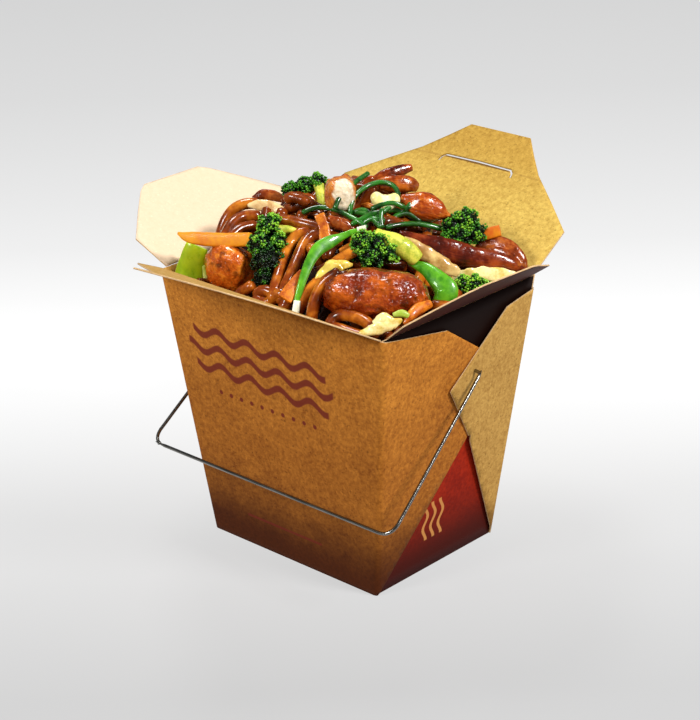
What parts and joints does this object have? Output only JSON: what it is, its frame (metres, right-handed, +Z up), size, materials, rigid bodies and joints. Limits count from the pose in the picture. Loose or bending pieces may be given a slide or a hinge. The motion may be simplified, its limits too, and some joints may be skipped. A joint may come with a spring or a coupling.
{
  "type": "noodle takeaway box",
  "caption": "Open tapered kraft board pail with fold-out flaps and a wire bail, heaped with glazed noodles, chicken, broccoli and vegetables.",
  "frame": {"origin": "middle of the carton's flat bottom face", "axes": "+Z up; the wide front panel faces -Y, a gusseted end with the red panel faces +X"},
  "size_m": [0.1675, 0.1782, 0.1381],
  "materials": {
    "kraft_board": "uncoated brown kraft with flecks, one end printed dark red",
    "cream_board": "pale uncoated lining of a small end flap",
    "bail_wire": "bright drawn steel wire",
    "noodle": "glossy soy-glazed wheat noodle",
    "chicken": "glossy glazed browned chicken",
    "meat": "glossy dark glazed meat",
    "broccoli": "fine grained dark green buds on a pale stalk",
    "carrot": "moist cut carrot",
    "capsicum": "waxy green capsicum",
    "cabbage": "translucent cooked cabbage",
    "mushroom": "glazed brown mushroom slice",
    "onion": "glazed pale onion",
    "cashew": "pale cream nut"
  },
  "bodies": {
    "carton": {"carton": "kraft_board", "beef_strip": "meat", "broccoli_back": "broccoli", "broccoli_left": "broccoli", "broccoli_middle": "broccoli", "broccoli_right": "broccoli", "broccoli_small": "broccoli", "cabbage_corner": "cabbage", "cabbage_middle": "cabbage", "cabbage_petal": "cabbage", "cabbage_right": "cabbage", "capsicum_left": "capsicum", "capsicum_right": "capsicum", "capsicum_strip": "capsicum", "carrot_back": "carrot", "carrot_corner": "carrot", "carrot_front": "carrot", "carrot_left": "carrot", "carrot_middle": "carrot", "cashew": "cashew", "chicken_front": "chicken", "chicken_left": "chicken", "chicken_top": "chicken", "meat_finger_left": "meat", "meat_finger_right": "meat", "meat_fold": "meat", "mushroom_back": "mushroom", "mushroom_left": "mushroom", "mushroom_middle": "mushroom", "mushroom_right": "mushroom", "noodle_heap": "noodle", "onion_slice": "onion"},
    "bail": {"bail": "bail_wire"},
    "flap_front": {"flap_front": "kraft_board"},
    "flap_back": {"flap_back": "kraft_board"},
    "flap_left": {"flap_left": "cream_board"},
    "flap_right": {"flap_right": "kraft_board"}
  },
  "joints": [
    {"name": "bail_swing", "type": "hinge", "parent": "carton", "child": "bail", "pos_m": [0, 0.009, 0.0777], "axis": [-1, 0, 0], "range_deg": [-11, 55]},
    {"name": "front_flap_fold", "type": "hinge", "parent": "carton", "child": "flap_front", "pos_m": [0, -0.04125, 0.10535], "axis": [-1, 0, 0], "range_deg": [-27, 61]},
    {"name": "back_flap_fold", "type": "hinge", "parent": "carton", "child": "flap_back", "pos_m": [0, 0.04125, 0.10535], "axis": [1, 0, 0], "range_deg": [-75, 54]},
    {"name": "left_flap_fold", "type": "hinge", "parent": "carton", "child": "flap_left", "pos_m": [-0.0543, 0, 0.10535], "axis": [0, 1, 0], "range_deg": [-54, 63]},
    {"name": "right_flap_fold", "type": "hinge", "parent": "carton", "child": "flap_right", "pos_m": [0.0543, 0, 0.10535], "axis": [0, -1, 0], "range_deg": [-68, 50]}
  ]
}
